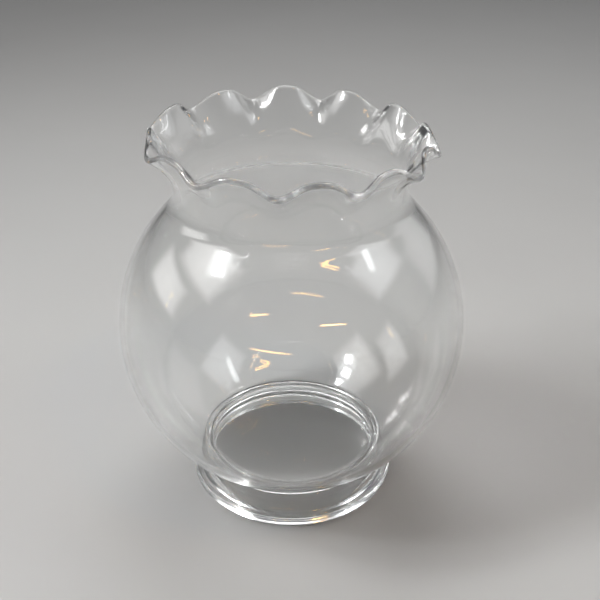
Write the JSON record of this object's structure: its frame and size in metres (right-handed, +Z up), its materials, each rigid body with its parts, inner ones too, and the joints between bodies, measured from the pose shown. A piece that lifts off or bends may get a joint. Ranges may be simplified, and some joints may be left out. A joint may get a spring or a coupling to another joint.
{
  "type": "ivy bowl vase",
  "caption": "Clear glass ivy bowl: a round blown globe with a drawn-in neck, a flared collar crimped into a ruffled lip, and a pressed foot ring that it stands on.",
  "frame": {"origin": "on the bowl's axis, on the surface that the foot ring stands on", "axes": "+Z up along the axis of revolution; -Y is the side that faces the camera in the picture, +X is to its right"},
  "size_m": [0.135, 0.135, 0.1517],
  "materials": {
    "clear_glass": "fire-polished colourless soda-lime glass, glossy"
  },
  "bodies": {
    "root": {"bowl": "clear_glass", "ruffled_rim": "clear_glass", "foot": "clear_glass"}
  },
  "joints": []
}
